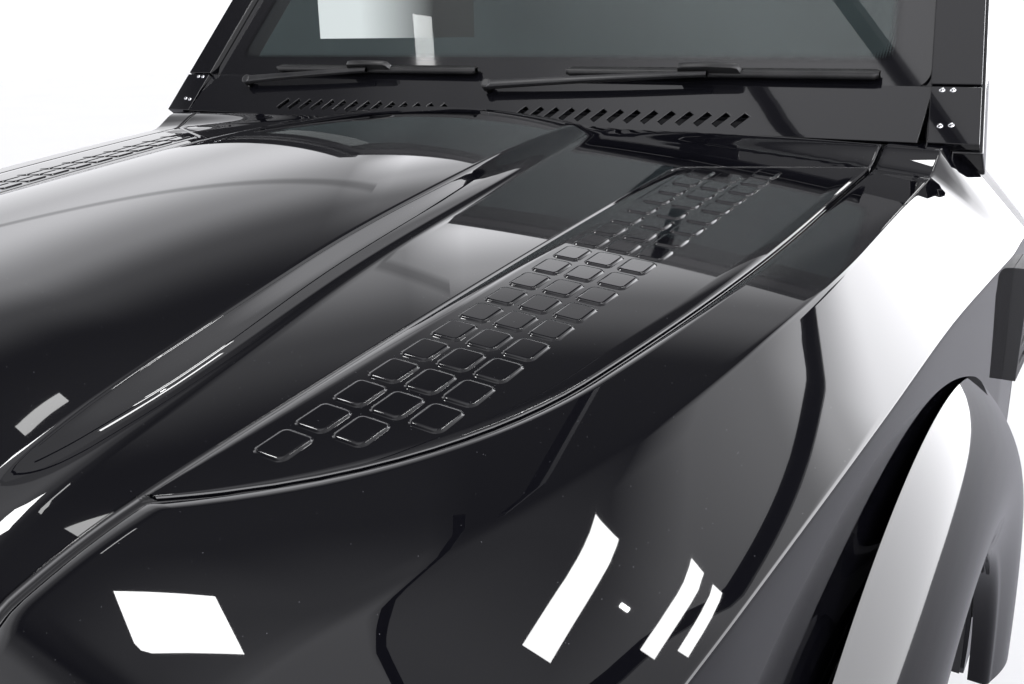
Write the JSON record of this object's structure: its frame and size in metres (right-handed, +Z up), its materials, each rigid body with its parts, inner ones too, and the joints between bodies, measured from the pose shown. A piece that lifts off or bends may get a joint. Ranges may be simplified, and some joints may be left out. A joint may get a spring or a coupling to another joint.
{
  "type": "off-road vehicle front body section",
  "caption": "Front body section of an off-road vehicle: opening bonnet with raised tread plates, wings, scuttle, raked windscreen, wipers, nose and bulkhead.",
  "frame": {"origin": "centre of the bulkhead's flat rear face, where the section bolts to the cabin", "axes": "+X to the vehicle's left, +Y rearward, +Z up; the nose points along -Y"},
  "size_m": [1.9964, 1.887, 1.4149],
  "materials": {
    "body_paint": "gloss black clear coat",
    "plate_gloss": "gloss black moulding with raised pads",
    "under_paint": "satin body primer and sealer",
    "trim_plastic": "grained black plastic",
    "gloss_trim": "gloss black plastic",
    "tinted_glass": "green tinted laminated glass",
    "lamp_lens": "clear polycarbonate",
    "lamp_body": "dark reflector housing",
    "steel": "black coated steel",
    "rod_chrome": "hard chromed rod",
    "wiper_rubber": "black rubber blade in a satin carrier",
    "skid_metal": "satin pressed plate"
  },
  "bodies": {
    "body_shell": {"hinge_base_left": "steel", "hinge_base_right": "steel", "windscreen_frame": "gloss_trim", "windscreen_glass": "tinted_glass", "pillar_trim_left": "gloss_trim", "pillar_trim_right": "gloss_trim", "wing_left": "body_paint", "wing_right": "body_paint", "arch_flare_left": "gloss_trim", "arch_flare_right": "gloss_trim", "arch_liner_left": "trim_plastic", "arch_liner_right": "trim_plastic", "side_vent_left": "trim_plastic", "side_vent_right": "trim_plastic", "inner_wing_left": "under_paint", "inner_wing_right": "under_paint", "bulkhead": "under_paint", "scuttle_panel": "gloss_trim", "front_panel": "body_paint", "grille": "trim_plastic", "headlamp_left": "lamp_body", "headlamp_right": "lamp_body", "headlamp_lens_left": "lamp_lens", "headlamp_lens_right": "lamp_lens", "slam_panel": "under_paint", "bonnet_latch": "steel", "bumper": "trim_plastic", "front_frame": "steel", "skid_plate": "skid_metal"},
    "bonnet": {"bonnet_skin": "body_paint", "bonnet_inner_frame": "under_paint", "bonnet_plate_left": "plate_gloss", "bonnet_plate_right": "plate_gloss", "hinge_arm_left": "steel", "hinge_arm_right": "steel", "bonnet_striker": "rod_chrome"},
    "strut_tube_left": {"strut_cylinder_left": "steel"},
    "strut_tube_right": {"strut_cylinder_right": "steel"},
    "strut_shaft_left": {"strut_rod_left": "rod_chrome"},
    "strut_shaft_right": {"strut_rod_right": "rod_chrome"},
    "wiper_left": {"wiper_arm_left": "steel", "wiper_blade_left": "wiper_rubber"},
    "wiper_right": {"wiper_arm_right": "steel", "wiper_blade_right": "wiper_rubber"}
  },
  "joints": [
    {"name": "bonnet_hinge", "type": "hinge", "parent": "body_shell", "child": "bonnet", "pos_m": [0, -0.1, 0.358], "axis": [-1, 0, 0], "range_deg": [0, 52]},
    {"name": "strut_swing_left", "type": "hinge", "parent": "body_shell", "child": "strut_tube_left", "pos_m": [0.53, -0.33, 0.15], "axis": [-1, 0, 0], "range_deg": [-1, 55.08]},
    {"name": "strut_stroke_left", "type": "slide", "parent": "strut_tube_left", "child": "strut_shaft_left", "axis": [0, -0.9571, 0.2897], "range_m": [-0.001, 0.2723]},
    {"name": "strut_swing_right", "type": "hinge", "parent": "body_shell", "child": "strut_tube_right", "pos_m": [-0.53, -0.33, 0.15], "axis": [-1, 0, 0], "range_deg": [-1, 55.08]},
    {"name": "strut_stroke_right", "type": "slide", "parent": "strut_tube_right", "child": "strut_shaft_right", "axis": [0, -0.9571, 0.2897], "range_m": [-0.001, 0.2723]},
    {"name": "wiper_sweep_left", "type": "hinge", "parent": "body_shell", "child": "wiper_left", "pos_m": [0, -0.0836, 0.44048], "axis": [0, -0.788, 0.6157], "range_deg": [0, 58]},
    {"name": "wiper_sweep_right", "type": "hinge", "parent": "body_shell", "child": "wiper_right", "pos_m": [-0.64, -0.0836, 0.44048], "axis": [0, -0.788, 0.6157], "range_deg": [-1, 76]}
  ],
  "couplings": [
    {"joint": "strut_swing_left", "follows": "bonnet_hinge", "ratio": 1.04},
    {"joint": "strut_stroke_left", "follows": "bonnet_hinge", "m_per_rad": 0.29889},
    {"joint": "strut_swing_right", "follows": "bonnet_hinge", "ratio": 1.04},
    {"joint": "strut_stroke_right", "follows": "bonnet_hinge", "m_per_rad": 0.29889},
    {"joint": "wiper_sweep_right", "follows": "wiper_sweep_left", "ratio": 1.28}
  ]
}
